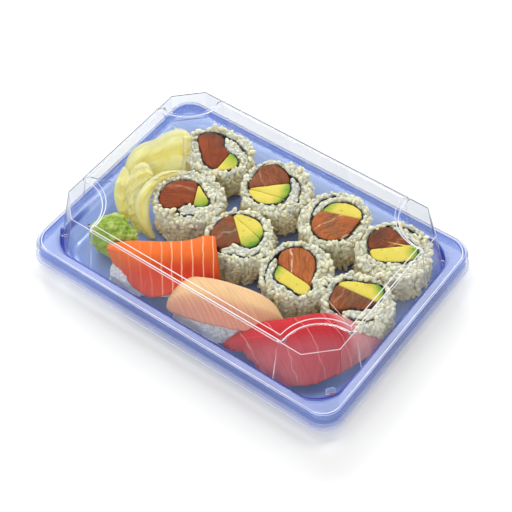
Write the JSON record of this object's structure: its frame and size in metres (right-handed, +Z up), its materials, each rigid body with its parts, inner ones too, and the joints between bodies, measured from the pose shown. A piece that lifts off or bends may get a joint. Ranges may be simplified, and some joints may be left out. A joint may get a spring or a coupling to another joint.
{
  "type": "takeaway sushi tray",
  "caption": "Blue plastic takeaway tray under a clear domed lid, packed with cut sushi rolls, nigiri, pickled ginger and wasabi.",
  "frame": {"origin": "centre of the underside of the closed tray, on the table", "axes": "+X along the tray's long side, +Y across it towards the side away from the nigiri, +Z up"},
  "size_m": [0.196, 0.1376, 0.0429],
  "materials": {
    "tray_plastic": "glossy translucent periwinkle blue, thermoformed sheet",
    "lid_plastic": "clear, thermoformed sheet",
    "rice": "moist cooked short-grain rice",
    "nori": "pressed dried seaweed, softened by the rice",
    "roll_salmon": "cut raw salmon, moist",
    "avocado": "cut avocado, yellow to green",
    "salmon_slice": "raw salmon slice with pale fat lines",
    "white_fish_slice": "raw pale pink fish slice",
    "tuna_slice": "raw red tuna slice",
    "ginger": "thin pickled ginger slices, moist",
    "wasabi": "rough green paste"
  },
  "bodies": {
    "root": {"tray": "tray_plastic", "lid": "lid_plastic", "roll_1_nori": "nori", "roll_1_core_rice": "rice", "roll_1_salmon": "roll_salmon", "roll_1_avocado": "avocado", "roll_1_rice": "rice", "roll_2_nori": "nori", "roll_2_core_rice": "rice", "roll_2_salmon": "roll_salmon", "roll_2_avocado": "avocado", "roll_2_rice": "rice", "roll_3_nori": "nori", "roll_3_core_rice": "rice", "roll_3_salmon": "roll_salmon", "roll_3_avocado_a": "avocado", "roll_3_avocado_b": "avocado", "roll_3_rice": "rice", "roll_4_nori": "nori", "roll_4_core_rice": "rice", "roll_4_salmon": "roll_salmon", "roll_4_avocado_a": "avocado", "roll_4_avocado_b": "avocado", "roll_4_rice": "rice", "roll_5_nori": "nori", "roll_5_core_rice": "rice", "roll_5_salmon": "roll_salmon", "roll_5_avocado": "avocado", "roll_5_rice": "rice", "roll_6_nori": "nori", "roll_6_core_rice": "rice", "roll_6_salmon": "roll_salmon", "roll_6_avocado": "avocado", "roll_6_rice": "rice", "roll_7_nori": "nori", "roll_7_core_rice": "rice", "roll_7_salmon": "roll_salmon", "roll_7_avocado": "avocado", "roll_7_rice": "rice", "roll_8_nori": "nori", "roll_8_core_rice": "rice", "roll_8_salmon": "roll_salmon", "roll_8_avocado": "avocado", "roll_8_rice": "rice", "nigiri_tuna_fish": "tuna_slice", "nigiri_white_fish_fish": "white_fish_slice", "nigiri_salmon_fish": "salmon_slice", "nigiri_salmon_rice": "rice", "nigiri_white_fish_rice": "rice", "nigiri_tuna_rice": "rice", "wasabi": "wasabi", "ginger_1": "ginger", "ginger_2": "ginger", "ginger_3": "ginger", "ginger_4": "ginger", "ginger_5": "ginger"}
  },
  "joints": []
}
